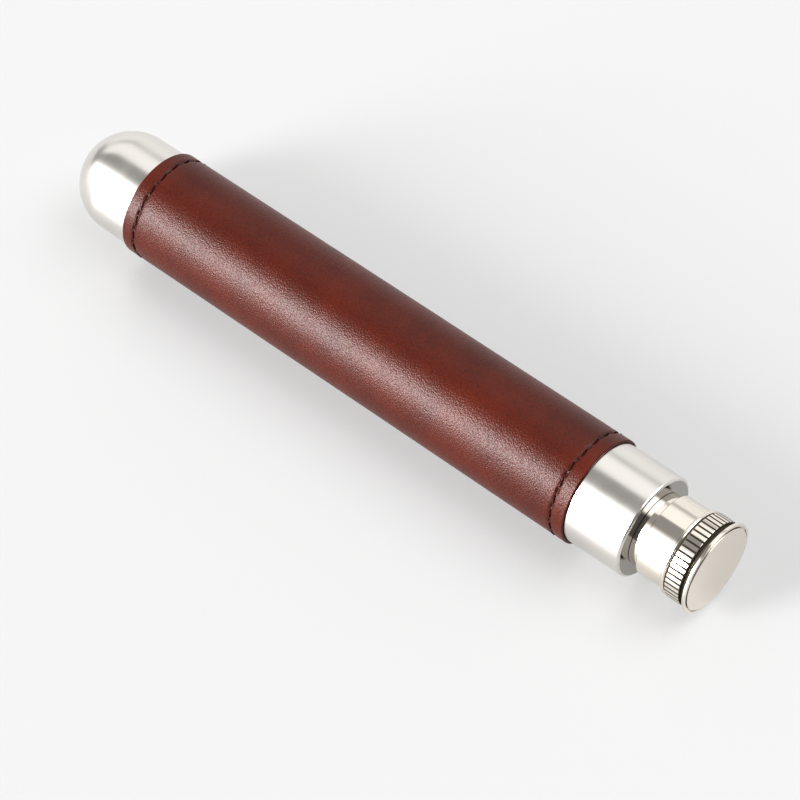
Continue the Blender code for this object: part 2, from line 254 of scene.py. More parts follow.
def faced_metal(name, metal, roughness, line):
    """A metal face cut square on a lathe, whose tool leaves faint rings about the axis."""
    material, tree, shader = new_material(name)
    place = add_node(tree, "TexCoord").outputs["Object"]
    centred = add_node(tree, "Mapping", {"Vector": place, "Location": -AXIS})
    flat = add_node(tree, "VectorMath", {0: centred.outputs[0], 1: (0.0, 1.0, 1.0)}, operation="MULTIPLY")
    radius = add_node(tree, "VectorMath", {0: flat.outputs[0]}, operation="LENGTH")
    rings = add_node(
        tree, "TexNoise", {"W": radius.outputs["Value"], "Scale": 1 / line, "Detail": 2.0},
        noise_dimensions="1D",
    )
    dust = add_node(tree, "TexNoise", {"Vector": place, "Scale": 1 / 0.004, "Detail": 4.0})
    rough = add_node(
        tree, "MapRange",
        {
            "Value": dust.outputs[0], "From Min": 0.3, "From Max": 0.7,
            "To Min": roughness * 0.9, "To Max": roughness * 1.2,
        },
    )
    bump = add_node(tree, "Bump", {"Height": rings.outputs[0], "Strength": 0.3, "Distance": 0.000003})
    feed(tree, shader, {
        "Base Color": (*metal, 1.0),
        "Metallic": 1.0,
        "Roughness": rough.outputs[0],
        "Normal": bump.outputs[0],
    })
    return material


def polished_nickel():
    """Turned brass under bright nickel plate: a warm mirror, with faint turning lines and finger marks."""
    material, tree, shader = new_material("polished nickel plate")
    place = add_node(tree, "TexCoord").outputs["Object"]
    # turning lines 0.1 mm apart that the plate has softened, drawn at 0.2 mm so that they show
    across = add_node(tree, "Mapping", {"Vector": place, "Scale": (1 / 0.0002, 90, 90)})
    lines = add_node(tree, "TexNoise", {"Vector": across.outputs[0], "Scale": 1.0, "Detail": 2.0})
    marks = add_node(tree, "TexNoise", {"Vector": place, "Scale": 1 / 0.003, "Detail": 5.0})
    rough = add_node(
        tree, "MapRange",
        {"Value": marks.outputs[0], "From Min": 0.35, "From Max": 0.7, "To Min": 0.07, "To Max": 0.12},
    )
    bump = add_node(tree, "Bump", {"Height": lines.outputs[0], "Strength": 0.3, "Distance": 0.000003})
    feed(tree, shader, {
        "Base Color": (*bpy.context.scene.flask_steel.nickel, 1.0),
        "Metallic": 1.0,
        "Roughness": rough.outputs[0],
        "Normal": bump.outputs[0],
    })
    return material


def painted_groove_shade():
    """Painted shade at the bottoms of the cap's grooves and flutes: matt, brown-black and uneven, in place of the
    shade and dark reflections down in them.
    """
    material, tree, shader = new_material("painted groove shade")
    place = add_node(tree, "TexCoord").outputs["Object"]
    mottle = add_node(tree, "TexNoise", {"Vector": place, "Scale": 1 / 0.0006, "Detail": 4.0})
    tone = add_node(
        tree, "Mix",
        {MIX_FACTOR: mottle.outputs[0], MIX_A: (*linear("#3B362C"), 1.0), MIX_B: (*linear("#585145"), 1.0)},
        data_type="RGBA",
    )
    bump = add_node(tree, "Bump", {"Height": mottle.outputs[0], "Strength": 0.3, "Distance": 0.00002})
    feed(tree, shader, {
        "Base Color": tone.outputs[MIX_RESULT],
        "Roughness": 0.7,
        "Specular IOR Level": 0.2,
        "Normal": bump.outputs[0],
    })
    return material


def oxblood_leather():
    """Corrected-grain calf, dyed oxblood and sealed: fine pebbles break up a soft sheen. Painted shade darkens the
    creases between the pebbles, and the dents and needle holes where it is sewn.
    """
    wrap = bpy.context.scene.flask_wrap
    material, tree, shader = new_material("oxblood calf leather")
    place = add_node(tree, "TexCoord").outputs["Object"]
    dent = add_node(tree, "Attribute", attribute_name="dent").outputs["Fac"]
    # pebbles 0.25 mm across, drawn at 0.37 mm so that they show, with creases between them, and bent so that
    # no cell is straight
    bend = add_node(tree, "TexNoise", {"Vector": place, "Scale": 1 / 0.0009, "Detail": 2.0})
    bent = add_node(
        tree, "VectorMath", {0: bend.outputs["Color"], 1: (0.0003, 0.0003, 0.0003), 2: place},
        operation="MULTIPLY_ADD",
    )
    pebbles = add_node(
        tree, "TexVoronoi", {"Vector": bent.outputs[0], "Scale": 1 / 0.00037, "Smoothness": 0.5},
        feature="SMOOTH_F1",
    )
    pores = add_node(tree, "TexNoise", {"Vector": place, "Scale": 1 / 0.00016, "Detail": 3.0})
    grain = add_node(
        tree, "Math", {0: pores.outputs[0], 1: 0.45, 2: pebbles.outputs["Distance"]}, operation="MULTIPLY_ADD"
    )
    # the dye takes unevenly over about a centimetre
    dye = add_node(tree, "TexNoise", {"Vector": place, "Scale": 1 / 0.011, "Detail": 3.0})
    shade = add_node(
        tree, "MapRange",
        {"Value": dye.outputs[0], "From Min": 0.35, "From Max": 0.7, "To Min": 0.0, "To Max": 0.35},
    )
    # painted shade: the creases between the pebbles are darkened
    crease = add_node(
        tree, "MapRange",
        {
            "Value": pebbles.outputs["Distance"], "From Min": 0.45, "From Max": 0.8,
            "To Min": 0.0, "To Max": 0.35,
        },
    )
    dye_and_crease_shade = add_node(
        tree, "Math", {0: shade.outputs[0], 1: crease.outputs[0]}, operation="ADD", use_clamp=True
    )
    # painted shade: the stitch dents and needle holes are darkened by their depth, read from the mesh's dent
    # attribute
    dye_and_painted_shade = add_node(tree, "Math", {0: dye_and_crease_shade.outputs[0], 1: dent}, operation="ADD", use_clamp=True)
    dyed = add_node(
        tree, "Mix",
        {MIX_FACTOR: dye_and_painted_shade.outputs[0], MIX_A: (*wrap.leather, 1.0), MIX_B: (*wrap.leather_dark_dye_and_shade, 1.0)},
        data_type="RGBA",
    )
    rough = add_node(
        tree, "MapRange",
        {"Value": grain.outputs[0], "From Min": 0.2, "From Max": 1.0, "To Min": 0.31, "To Max": 0.38},
    )
    bump = add_node(
        tree, "Bump", {"Height": grain.outputs[0], "Strength": 1.0, "Distance": 0.00006}, invert=True
    )
    feed(tree, shader, {
        "Base Color": dyed.outputs[MIX_RESULT],
        "Roughness": rough.outputs[0],
        "IOR": 1.5,
        "Specular IOR Level": 0.31,
        "Normal": bump.outputs[0],
    })
    return material


def waxed_thread():
    """Two-ply polyester, waxed and rubbed dull: nearly black in the shade, with fibres along each ply."""
    material, tree, shader = new_material("waxed polyester thread")
    place = add_node(tree, "TexCoord").outputs["Object"]
    fibres = add_node(tree, "TexNoise", {"Vector": place, "Scale": 1 / 0.0001, "Detail": 3.0})
    thread = Vector(bpy.context.scene.flask_wrap.thread)
    fibre = add_node(
        tree, "Mix",
        {MIX_FACTOR: fibres.outputs[0], MIX_A: (*(thread * 0.6), 1.0), MIX_B: (*(thread * 1.5), 1.0)},
        data_type="RGBA",
    )
    bump = add_node(tree, "Bump", {"Height": fibres.outputs[0], "Strength": 0.4, "Distance": 0.00002})
    feed(tree, shader, {
        "Base Color": fibre.outputs[MIX_RESULT],
        "Roughness": 0.8,
        "Specular IOR Level": 0.12,
        "Normal": bump.outputs[0],
    })
    return material


def felt_lining():
    """Thin bonded felt: matt, pale and a little fuzzy at its cut edge."""
    material, tree, shader = new_material("bonded felt")
    place = add_node(tree, "TexCoord").outputs["Object"]
    fibres = add_node(
        tree, "TexNoise", {"Vector": place, "Scale": 1 / 0.00025, "Detail": 4.0, "Roughness": 0.7}
    )
    felt = Vector(bpy.context.scene.flask_wrap.lining)
    tone = add_node(
        tree, "Mix",
        {MIX_FACTOR: fibres.outputs[0], MIX_A: (*(felt * 0.75), 1.0), MIX_B: (*(felt * 1.2), 1.0)},
        data_type="RGBA",
    )
    bump = add_node(tree, "Bump", {"Height": fibres.outputs[0], "Strength": 0.6, "Distance": 0.00005})
    feed(tree, shader, {
        "Base Color": tone.outputs[MIX_RESULT],
        "Roughness": 0.95,
        "Sheen Weight": 0.3,
        "Normal": bump.outputs[0],
    })
    return material


def moulded(name, tint, roughness, grain):
    """A moulded plastic or rubber: an even tint, with the mould's fine spark-eroded texture."""
    material, tree, shader = new_material(name)
    place = add_node(tree, "TexCoord").outputs["Object"]
    texture = add_node(tree, "TexNoise", {"Vector": place, "Scale": 1 / grain, "Detail": 2.0})
    cloud = add_node(tree, "TexNoise", {"Vector": place, "Scale": 1 / 0.004, "Detail": 2.0})
    tone = add_node(
        tree, "Mix",
        {MIX_FACTOR: cloud.outputs[0], MIX_A: (*(Vector(tint) * 0.92), 1.0), MIX_B: (*tint, 1.0)},
        data_type="RGBA",
    )
    bump = add_node(tree, "Bump", {"Height": texture.outputs[0], "Strength": 0.3, "Distance": 0.00001})
    feed(tree, shader, {
        "Base Color": tone.outputs[MIX_RESULT],
        "Roughness": roughness,
        "Subsurface Weight": 0.15,
        "Subsurface Radius": (0.001, 0.001, 0.001),
        "Normal": bump.outputs[0],
    })
    return material


# ---- shapes ----
def arc(radius, height, size, start, end, steps):
    """Outline points on an arc about (radius, height). Angles in degrees, 0 outwards, 90 towards the cap."""
    angles = [math.radians(start + (end - start) * i / steps) for i in range(steps + 1)]
    return [(radius + size * math.cos(a), height + size * math.sin(a), 0.0) for a in angles]


def outline(points, closed=True):
    """A bmesh that holds an outline above the flask's axis, with its corners rounded."""
    bm = bmesh.new()
    verts = [bm.verts.new((TIP + height, 0.0, AXIS.z + radius)) for radius, height, _ in points]
    ends = verts[1:] + verts[:1] if closed else verts[1:]
    for start, end in zip(verts, ends):
        bm.edges.new((start, end))
    for vert, (_, _, rounding) in zip(verts, points):
        if rounding:
            bmesh.ops.bevel(
                bm, geom=[vert], offset=rounding, offset_type="OFFSET", segments=ROUND_STEPS, profile=0.5,
                affect="VERTICES", material=-1,
            )
    return bm


def spin_round(bm, steps=RING_STEPS):
    """Spins an outline into a closed turned body."""
    bmesh.ops.spin(
        bm, geom=bm.verts[:] + bm.edges[:], cent=AXIS, axis=(1, 0, 0), dvec=(0, 0, 0), angle=2 * math.pi,
        steps=steps, use_merge=True,
    )
    bmesh.ops.remove_doubles(bm, verts=bm.verts, dist=WELD)
    bmesh.ops.recalc_face_normals(bm, faces=bm.faces)
    return bm


def turned(points, closed=True, steps=RING_STEPS):
    return spin_round(outline(points, closed), steps)


def polar(point):
    """A point's distance from the flask's axis, and its angle about it."""
    return math.hypot(point.y, point.z - AXIS.z), math.atan2(-point.y, point.z - AXIS.z)


def at_polar(x, radius, angle):
    return Vector((x, -radius * math.sin(angle), AXIS.z + radius * math.cos(angle)))


def turn_about_axis(angle):
    return Matrix.Translation(AXIS) @ Matrix.Rotation(angle, 4, "X") @ Matrix.Translation(-AXIS)


def helical_ridge(root, crest, start, turns, pitch):
    """A closed thread ridge that fades out at both ends. Its root is sunk into the wall that carries it."""
    sunk = root + math.copysign(2 * FIT_GAP, root - crest)
    half_root, half_crest = pitch / 4, pitch / 8
    bm = outline([
        (sunk, start - half_root, 0.0),
        (root, start - half_root, 0.0),
        (crest, start - half_crest, 0.0),
        (crest, start + half_crest, 0.0),
        (root, start + half_root, 0.0),
        (sunk, start + half_root, 0.0),
    ])
    bmesh.ops.edgeloop_fill(bm, edges=bm.edges)
    steps = round(RING_STEPS / 2 * turns)
    bmesh.ops.spin(
        bm, geom=bm.verts[:] + bm.edges[:] + bm.faces[:], cent=AXIS, axis=(1, 0, 0),
        dvec=(pitch * turns / steps, 0, 0), angle=2 * math.pi * turns, steps=steps,
    )
    for vert in bm.verts:
        radius, angle = polar(vert.co)
        part = (angle / (2 * math.pi)) % 1.0
        along = part + round((vert.co.x - TIP - start) / pitch - part)
        fade = min(1.0, max(0.0, min(along, turns - along)) / RIDGE_FADE)
        if abs(radius - sunk) > WELD:
            vert.co = at_polar(vert.co.x, sunk + (radius - sunk) * max(fade, RIDGE_LEAST), angle)
    bmesh.ops.recalc_face_normals(bm, faces=bm.faces)
    return bm


def new_object(bm, name):
    mesh = bpy.data.meshes.new(name)
    bm.to_mesh(mesh)
    bm.free()
    obj = bpy.data.objects.new(name, mesh)
    bpy.context.scene.collection.objects.link(obj)
    return obj


def united(bm, other):
    """Joins two closed bodies into one."""
    base, tool = new_object(bm, "base"), new_object(other, "tool")
    union = base.modifiers.new("union", "BOOLEAN")
    union.operation = "UNION"
    union.object = tool
    depsgraph = bpy.context.evaluated_depsgraph_get()
    mesh = bpy.data.meshes.new_from_object(base.evaluated_get(depsgraph))
    joined = bmesh.new()
    joined.from_mesh(mesh)
    bpy.data.meshes.remove(mesh)
    for obj in (base, tool):
        bpy.data.meshes.remove(obj.data)
    return joined


def finish_piece(bm, name, body, materials, nodes):
    """Makes a finished piece that moves with a body and stands for CAD nodes."""
    obj = new_object(bm, name)
    for material in materials:
        obj.data.materials.append(material)
    obj.data.shade_smooth()
    obj.data.set_sharp_from_angle(angle=SHARP_ANGLE)
    weighted = obj.modifiers.new("even_flats", "WEIGHTED_NORMAL")
    weighted.keep_sharp = True
    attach(obj, body)
    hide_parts(*nodes)
    return obj


# ---- steel body ----
class FLASK_OT_steel_body(bpy.types.Operator):
    """Turn the domed base and the shoulder, and finish the tube between them"""

    bl_idname = "flask.steel_body"
    bl_label = "Steel Body"

    def execute(self, context):
        settings = context.scene.flask_steel
        steel = satin_stainless_steel()
        finish_piece(self.dome(settings), "domed_base", "flask", [steel], ["base_dome"])
        # painted shade: the shoulder's flat face is steel at 0.55 of its colour, darker for the shadowed floor and
        # cap that it reflects
        face = faced_metal("faced stainless steel with painted shade", Vector(settings.steel) * 0.55, 0.08, 0.0002)
        shoulder = self.shoulder(settings)
        finish_piece(shoulder, "shoulder", "flask", [steel, face], ["shoulder_cap"])
        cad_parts["body_tube"].data.materials.clear()
        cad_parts["body_tube"].data.materials.append(steel)
        return {"FINISHED"}

    def dome(self, settings):
        bore = TUBE_RADIUS - settings.wall
        spigot = bore - FIT_GAP
        joint, end = TUBE_START - FIT_GAP, span("base_dome")[1]
        return turned([
            *arc(0.0, TUBE_RADIUS, bore, -90, 0, 24),
            (bore, joint - 2 * settings.wall, 0.0),
            (spigot - settings.spigot_wall, joint, 0.0),
            (spigot - settings.spigot_wall, end, 0.0),
            (spigot, end, 0.0),
            (spigot, joint, 0.0),
            (TUBE_RADIUS, joint, 0.0),
            *arc(0.0, TUBE_RADIUS, TUBE_RADIUS, 0, -90, ARC_STEPS),
        ], closed=False)

    def shoulder(self, settings):
        bore = TUBE_RADIUS - settings.wall
        spigot = bore - FIT_GAP
        hole = settings.neck_foot + FIT_GAP
        joint, start = TUBE_END + FIT_GAP, span("shoulder_cap")[0]
        underside = SHOULDER_FACE - settings.shoulder_plate
        bm = turned([
            (hole, SHOULDER_FACE, 0.0),
            (TUBE_RADIUS, SHOULDER_FACE, settings.shoulder_edge),
            (TUBE_RADIUS, joint, 0.0),
            (spigot, joint, 0.0),
            (spigot, start, 0.0),
            (spigot - settings.spigot_wall, start, 0.0),
            (spigot - settings.spigot_wall, joint, 0.0),
            (bore, joint + 2 * settings.wall, 0.0),
            (bore, underside, 0.0),
            (hole, underside, 0.0),
        ])
        # the flat face takes the second material, the steel with painted shade
        for face in bm.faces:
            if face.calc_center_median().x > TIP + SHOULDER_FACE - WELD:
                face.material_index = 1
        return bm


class FLASK_OT_neck(bpy.types.Operator):
    """Turn the threaded neck and its collar"""

    bl_idname = "flask.neck"
    bl_label = "Neck and Collar"

    thread_turns = 2.5
    turns_below_rim = 3.2  # where the thread starts
    lip_share = 0.45  # share of the neck's wall that each side of the lip rounds off

    def execute(self, context):
        settings = context.scene.flask_steel
        nickel = polished_nickel()
        pitch = settings.thread_pitch
        thread_start = NECK_RIM - self.turns_below_rim * pitch
        ridge = helical_ridge(
            settings.neck_core, settings.neck_crest, thread_start, self.thread_turns, pitch
        )
        neck = united(self.tube(settings), ridge)
        finish_piece(neck, "neck", "flask", [nickel], ["neck_spout"])
        finish_piece(self.collar(settings), "collar", "flask", [nickel], ["neck_collar"])
        return {"FINISHED"}

    def tube(self, settings):
        lip = (settings.neck_core - settings.neck_bore) * self.lip_share
        flange = half_height("neck_spout")
        flange_top = SHOULDER_FACE - settings.shoulder_plate - FIT_GAP
        core_start = span("cap_thread_liner")[0]
        slope = settings.neck_foot - settings.neck_core
        return turned([
            (settings.neck_bore, NECK_RIM, lip),
            (settings.neck_core, NECK_RIM, lip),
            (settings.neck_core, core_start, 0.0),
            (settings.neck_foot, core_start - slope, 0.0),
            (settings.neck_foot, flange_top, 0.0),
            (flange, flange_top, 0.0),
            (flange, NECK_START, 0.0),
            (settings.neck_bore, NECK_START, 0.0),
        ])

    def collar(self, settings):
        start, end = span("neck_collar")
        outer, hole = half_height("neck_collar"), settings.neck_foot + FIT_GAP
        return turned([(outer, end, 0.00015), (outer, start, 0.0), (hole, start, 0.0), (hole, end, 0.0)])


# ---- sewn wrap ----
def row_heights(wrap):
    return WRAP_START + wrap.hem_inset, WRAP_END - wrap.hem_inset


def row_wander(angle, row):
    """How far a hand-fed row of stitches strays from straight, in metres."""
    return sum(size * math.sin(waves * angle + phase * row) for size, waves, phase in ROW_WANDER)


def stitch_phase(angle, wrap):
    """Where an angle falls between two needle holes: 0 at a hole and 0.5 in the middle of a stitch."""
    return (angle / (2 * math.pi) * wrap.stitch_count) % 1.0


class FLASK_OT_leather_wrap(bpy.types.Operator):
    """Wrap the body in leather that its stitches pull in, over a thin lining"""

    bl_idname = "flask.leather_wrap"
    bl_label = "Leather Wrap"

    steps_per_stitch = 16
    row_width = 0.00055  # how far a row's dent reaches to each side of it
    hole_width = 0.00032
    body_drop = 0.00001  # the body lies this much lower than a hem
    body_slope = 0.0015
    seam_drop = 0.00022  # how far the seam's lacing draws its edges in
    seam_width = 0.0007
    ripple_depth = 0.00002
    ripple_size = 0.012
    ripple_squeeze = 0.6  # ripples are longer round the flask than along it

    def execute(self, context):
        wrap = context.scene.flask_wrap
        leather = self.leather(wrap)
        calf = oxblood_leather()
        finish_piece(leather, "leather_wrap", "flask", [calf], ["wrap_leather"])
        finish_piece(self.lining(), "felt_lining", "flask", [felt_lining()], ["wrap_lining"])
        return {"FINISHED"}

    def leather(self, wrap):
        """The wrap is a strip, spun from one edge of the long seam to the other."""
        gap = wrap.seam_gap / WRAP_RADIUS
        bm = outline(self.strip_outline(wrap))
        bmesh.ops.edgeloop_fill(bm, edges=bm.edges)
        bmesh.ops.transform(bm, matrix=turn_about_axis(wrap.seam_angle + gap / 2), verts=bm.verts)
        bmesh.ops.spin(
            bm, geom=bm.verts[:] + bm.edges[:] + bm.faces[:], cent=AXIS, axis=(1, 0, 0), dvec=(0, 0, 0),
            angle=2 * math.pi - gap, steps=self.steps_per_stitch * wrap.stitch_count,
        )
        # each vertex keeps how deep it lies, which the leather's material uses as a mask for painted shade
        dent = bm.verts.layers.float.new("dent")
        half_way = (wrap.inner_radius + WRAP_RADIUS) / 2
        for vert in bm.verts:
            radius, angle = polar(vert.co)
            if radius > half_way:
                inwards = self.relief(wrap, vert.co.x - TIP, angle)
                vert[dent] = min(1.0, max(0.0, inwards / (wrap.dent + wrap.hole)))
                vert.co = at_polar(vert.co.x, radius - inwards, angle)
        bmesh.ops.recalc_face_normals(bm, faces=bm.faces)
        return bm

    def strip_outline(self, wrap):
        """Cut edges at both ends, fine steps across each hem and coarse ones between."""
        edge, hem_step, body_step = 0.00014, 0.0002, 0.004
        hem = 2 * wrap.hem_inset
        hem_steps = round((hem - edge) / hem_step)
        heights = [edge + (hem - edge) * i / hem_steps for i in range(hem_steps + 1)]
        body = WRAP_END - WRAP_START - 2 * hem
        body_steps = round(body / body_step)
        middle = [hem + body * i / body_steps for i in range(1, body_steps)]
        strip = WRAP_END - WRAP_START
        outer = [*heights, *middle, *(strip - height for height in reversed(heights))]
        return [
            (wrap.inner_radius, WRAP_START, 0.0),
            (WRAP_RADIUS - edge, WRAP_START, 0.00005),
            *((WRAP_RADIUS, WRAP_START + height, 0.0) for height in outer),
            (WRAP_RADIUS - edge, WRAP_END, 0.00005),
            (wrap.inner_radius, WRAP_END, 0.0),
        ]

    def relief(self, wrap, height, angle):
        """How far the leather's face lies under the radius of its hems."""
        depth = 0.0
        for row, row_height in enumerate(row_heights(wrap)):
            away = height - row_height - row_wander(angle, row)
            hole = 0.5 + 0.5 * math.cos(2 * math.pi * stitch_phase(angle, wrap))
            depth += wrap.dent * math.exp(-(away / self.row_width) ** 2)
            depth += wrap.hole * hole ** 6 * math.exp(-(away / self.hole_width) ** 2)
            on_body = height > row_height if row == 0 else height < row_height
            if on_body:
                depth += self.body_drop * (1 - math.exp(-abs(away) / self.body_slope))
        from_seam = math.remainder(angle - wrap.seam_angle, 2 * math.pi) * WRAP_RADIUS
        depth += self.seam_drop * math.exp(-(from_seam / self.seam_width) ** 2)
        around = self.ripple_squeeze * WRAP_RADIUS * angle
        ripple = noise.noise(Vector((height, around, 0.0)) / self.ripple_size)
        return depth + self.ripple_depth * (1 + ripple)

    def lining(self):
        start, end = span("wrap_lining")
        outer = half_height("wrap_lining")
        inner = TUBE_RADIUS + FIT_GAP / 2
        return turned([(outer, end, 0.0), (outer, start, 0.0), (inner, start, 0.0), (inner, end, 0.0)])


class FLASK_OT_stitches(bpy.types.Operator):
    """Sew both hems with running stitches, and lace the long seam with crosses"""

    bl_idname = "flask.stitches"
    bl_label = "Stitches"

    strand_sides = 8
    strand_steps = 14
    hem_slant = 0.00028  # how far a hem stitch leans along the flask
    cross_rise = 0.0022  # size of a cross along the flask
    cross_run = 0.0026  # and around it
    strand_seat = 0.35  # of the thread's radius, from the floor of the dent to the middle of the thread
    strand_width = 1.05
    strand_height = 0.72
    strand_twist = 2.2  # radians, from the middle of a stitch to its end
    strand_taper = 0.35
    strand_dive = 2.4  # thread radii that the ends go down

    def execute(self, context):
        wrap = context.scene.flask_wrap
        thread = waxed_thread()
        for row, (end, height) in enumerate(zip(("dome", "neck"), row_heights(wrap))):
            bm = bmesh.new()
            step = 2 * math.pi / wrap.stitch_count
            for stitch in range(wrap.stitch_count):
                angle = (stitch + 0.5) * step
                row_height = height + row_wander(angle, row)
                self.add_strand(bm, wrap, angle, row_height, step * wrap.stitch_share, self.hem_slant)
            name = f"{end}_end_stitches"
            finish_piece(bm, name, "flask", [thread], [f"hem_thread_{end}_end"])
        finish_piece(self.lacing(wrap), "seam_lacing", "flask", [thread], ["seam_thread"])
        return {"FINISHED"}

    def lacing(self, wrap):
        dome_row, neck_row = row_heights(wrap)
        crosses = round((neck_row - dome_row) / wrap.seam_step) - 1
        bm = bmesh.new()
        for cross in range(crosses):
            height = dome_row + (cross + 1) * (neck_row - dome_row) / (crosses + 1)
            for rise, lift in ((self.cross_rise, 0.0), (-self.cross_rise, wrap.thread_radius)):
                sweep = self.cross_run / WRAP_RADIUS
                self.add_strand(bm, wrap, wrap.seam_angle, height, sweep, rise, lift - wrap.dent)
        return bm

    def add_strand(self, bm, wrap, angle, height, sweep, rise, lift=0.0):
        """One stitch: an oval two-ply thread that twists as it runs round, and dives in at its ends."""
        seat = WRAP_RADIUS - wrap.dent + wrap.thread_radius * self.strand_seat + lift
        seated = Vector((TIP + height - rise / 2, 0.0, AXIS.z + seat))
        upright = Matrix.Translation(seated) @ Matrix.Rotation(math.pi / 2, 4, "X")
        circle = bmesh.ops.create_circle(
            bm, cap_ends=True, segments=self.strand_sides, radius=wrap.thread_radius,
            matrix=turn_about_axis(angle - sweep / 2) @ upright,
        )
        first = set(circle["verts"])
        face = next(face for face in circle["verts"][0].link_faces)
        made = bmesh.ops.spin(
            bm, geom=[face, *face.edges, *face.verts], cent=AXIS, axis=(1, 0, 0),
            dvec=(rise / self.strand_steps, 0, 0), angle=sweep, steps=self.strand_steps,
        )
        strand = self.connected(first, made)
        for vert in strand:
            radius, vert_angle = polar(vert.co)
            along = 2 * math.remainder(vert_angle - angle, 2 * math.pi) / sweep
            middle = TIP + height + rise * along / 2
            offset = Vector((vert.co.x - middle, radius - seat))
            ply = Vector((offset.x * self.strand_width, offset.y * self.strand_height))
            ply.rotate(Matrix.Rotation(self.strand_twist * along, 2))
            slim = 1 - self.strand_taper * along ** 4
            dive = self.strand_dive * wrap.thread_radius * abs(along) ** 5
            vert.co = at_polar(middle + ply.x * slim, seat + ply.y * slim - dive, vert_angle)
        bmesh.ops.recalc_face_normals(bm, faces=list({f for v in strand for f in v.link_faces}))

    def connected(self, first, made):
        """The vertices of a new strand: those of its first ring and every one that hangs on them."""
        found, waiting = set(first), list(first)
        while waiting:
            for edge in waiting.pop().link_edges:
                for vert in edge.verts:
                    if vert not in found:
                        found.add(vert)
                        waiting.append(vert)
        return found


# ---- cap ----
class FLASK_OT_cap_shell(bpy.types.Operator):
    """Turn the cap's knurled barrel, its head and the disc let into it"""

    bl_idname = "flask.cap_shell"
    bl_label = "Cap Shell"

    steps_per_flute = 9
    flute_steps = 2  # of them at the bottom of the flute

    def execute(self, context):
        cap = context.scene.flask_cap
        nickel = polished_nickel()
        face = faced_metal("faced nickel plate", context.scene.flask_steel.nickel, 0.22, 0.00025)
        groove_shade = painted_groove_shade()
        # the second material is painted shade for the bottoms of the grooves and flutes
        plated_and_shaded = [nickel, groove_shade]
        finish_piece(self.barrel(cap), "cap_body", "cap", plated_and_shaded, ["cap_barrel"])
        finish_piece(self.head(cap), "cap_crown", "cap", plated_and_shaded, ["cap_head"])
        finish_piece(self.disc(), "cap_disc", "cap", [face], ["cap_top_disc"])
        return {"FINISHED"}

    def barrel(self, cap):
        bead_end = SKIRT_START + cap.bead_start + cap.bead_width
        half_bead = cap.bead_width / 2
        knurl_start = SKIRT_START + cap.knurl_start
        knurl_end = knurl_start + cap.knurl_width
        bm = turned([
            (cap.bore, BARREL_TOP, 0.0),
            (cap.crown_groove, BARREL_TOP, 0.00005),
            (cap.crown_groove, knurl_end, 0.0),
            (cap.knurl_radius, knurl_end, 0.00016),
            (cap.knurl_radius, knurl_start, 0.00016),
            (cap.groove_radius, knurl_start, 0.0),
            (cap.groove_radius, bead_end + FIT_GAP / 2, 0.0),
            *arc(cap.bead_radius - half_bead, bead_end - half_bead, half_bead, 80, -90, 12),
            (cap.skirt_radius, SKIRT_START + cap.bead_start, 0.0),
            (cap.skirt_radius, SKIRT_START, 0.00018),
            (cap.bore, SKIRT_START, 0.00012),
        ], steps=cap.flutes * self.steps_per_flute)
        for vert in bm.verts:
            radius, angle = polar(vert.co)
            height = vert.co.x - TIP
            on_knurl = knurl_start - WELD < height < knurl_end + WELD and radius > cap.groove_radius + FIT_GAP
            step = round(angle / (2 * math.pi) * cap.flutes * self.steps_per_flute) % self.steps_per_flute
            if on_knurl and step < self.flute_steps:
                bottom = max(radius - cap.flute_depth, cap.groove_radius)
                vert.co = at_polar(vert.co.x, bottom, angle)
        self.shade_grooves(bm, cap)
        return bm

    def shade_grooves(self, bm, cap):
        """Gives the second material, painted shade, to the faces that reach down to the bottom of a groove."""
        for face in bm.faces:
            height = face.calc_center_median().x - TIP
            radii = [polar(vert.co)[0] for vert in face.verts]
            past_bead = height > SKIRT_START + cap.bead_start + cap.bead_width
            in_groove = cap.crown_groove - FIT_GAP < min(radii) < cap.groove_radius + FIT_GAP
            if past_bead and in_groove and height < HEAD_TOP - cap.rim_width:
                face.material_index = 1

    def head(self, cap):
        rim = half_height("cap_head")
        recess = half_height("cap_top_disc") + 2 * FIT_GAP
        register = cap.bore - FIT_GAP
        start = BARREL_TOP + FIT_GAP
        rim_start = HEAD_TOP - cap.rim_width
        floor = DISC_UNDERSIDE - FIT_GAP
        bm = turned([
            (0.0, floor, 0.0),
            (recess, floor, 0.0),
            (recess, HEAD_TOP, 0.00005),
            (rim, HEAD_TOP, 0.0001),
            (rim, rim_start, 0.0001),
            (cap.crown_groove, rim_start - FIT_GAP, 0.0),
            (cap.crown_groove, start, 0.0),
            (register, start, 0.0),
            (register, HEAD_FOOT, 0.0),
            (0.0, HEAD_FOOT, 0.0),
        ], closed=False)
        self.shade_grooves(bm, cap)
        return bm

    def disc(self):
        radius = half_height("cap_top_disc") - FIT_GAP
        return turned([
            (0.0, DISC_FACE, 0.0),
            (radius, DISC_FACE, 0.0001),
            (radius, DISC_UNDERSIDE, 0.0),
            (0.0, DISC_UNDERSIDE, 0.0),
        ], closed=False)


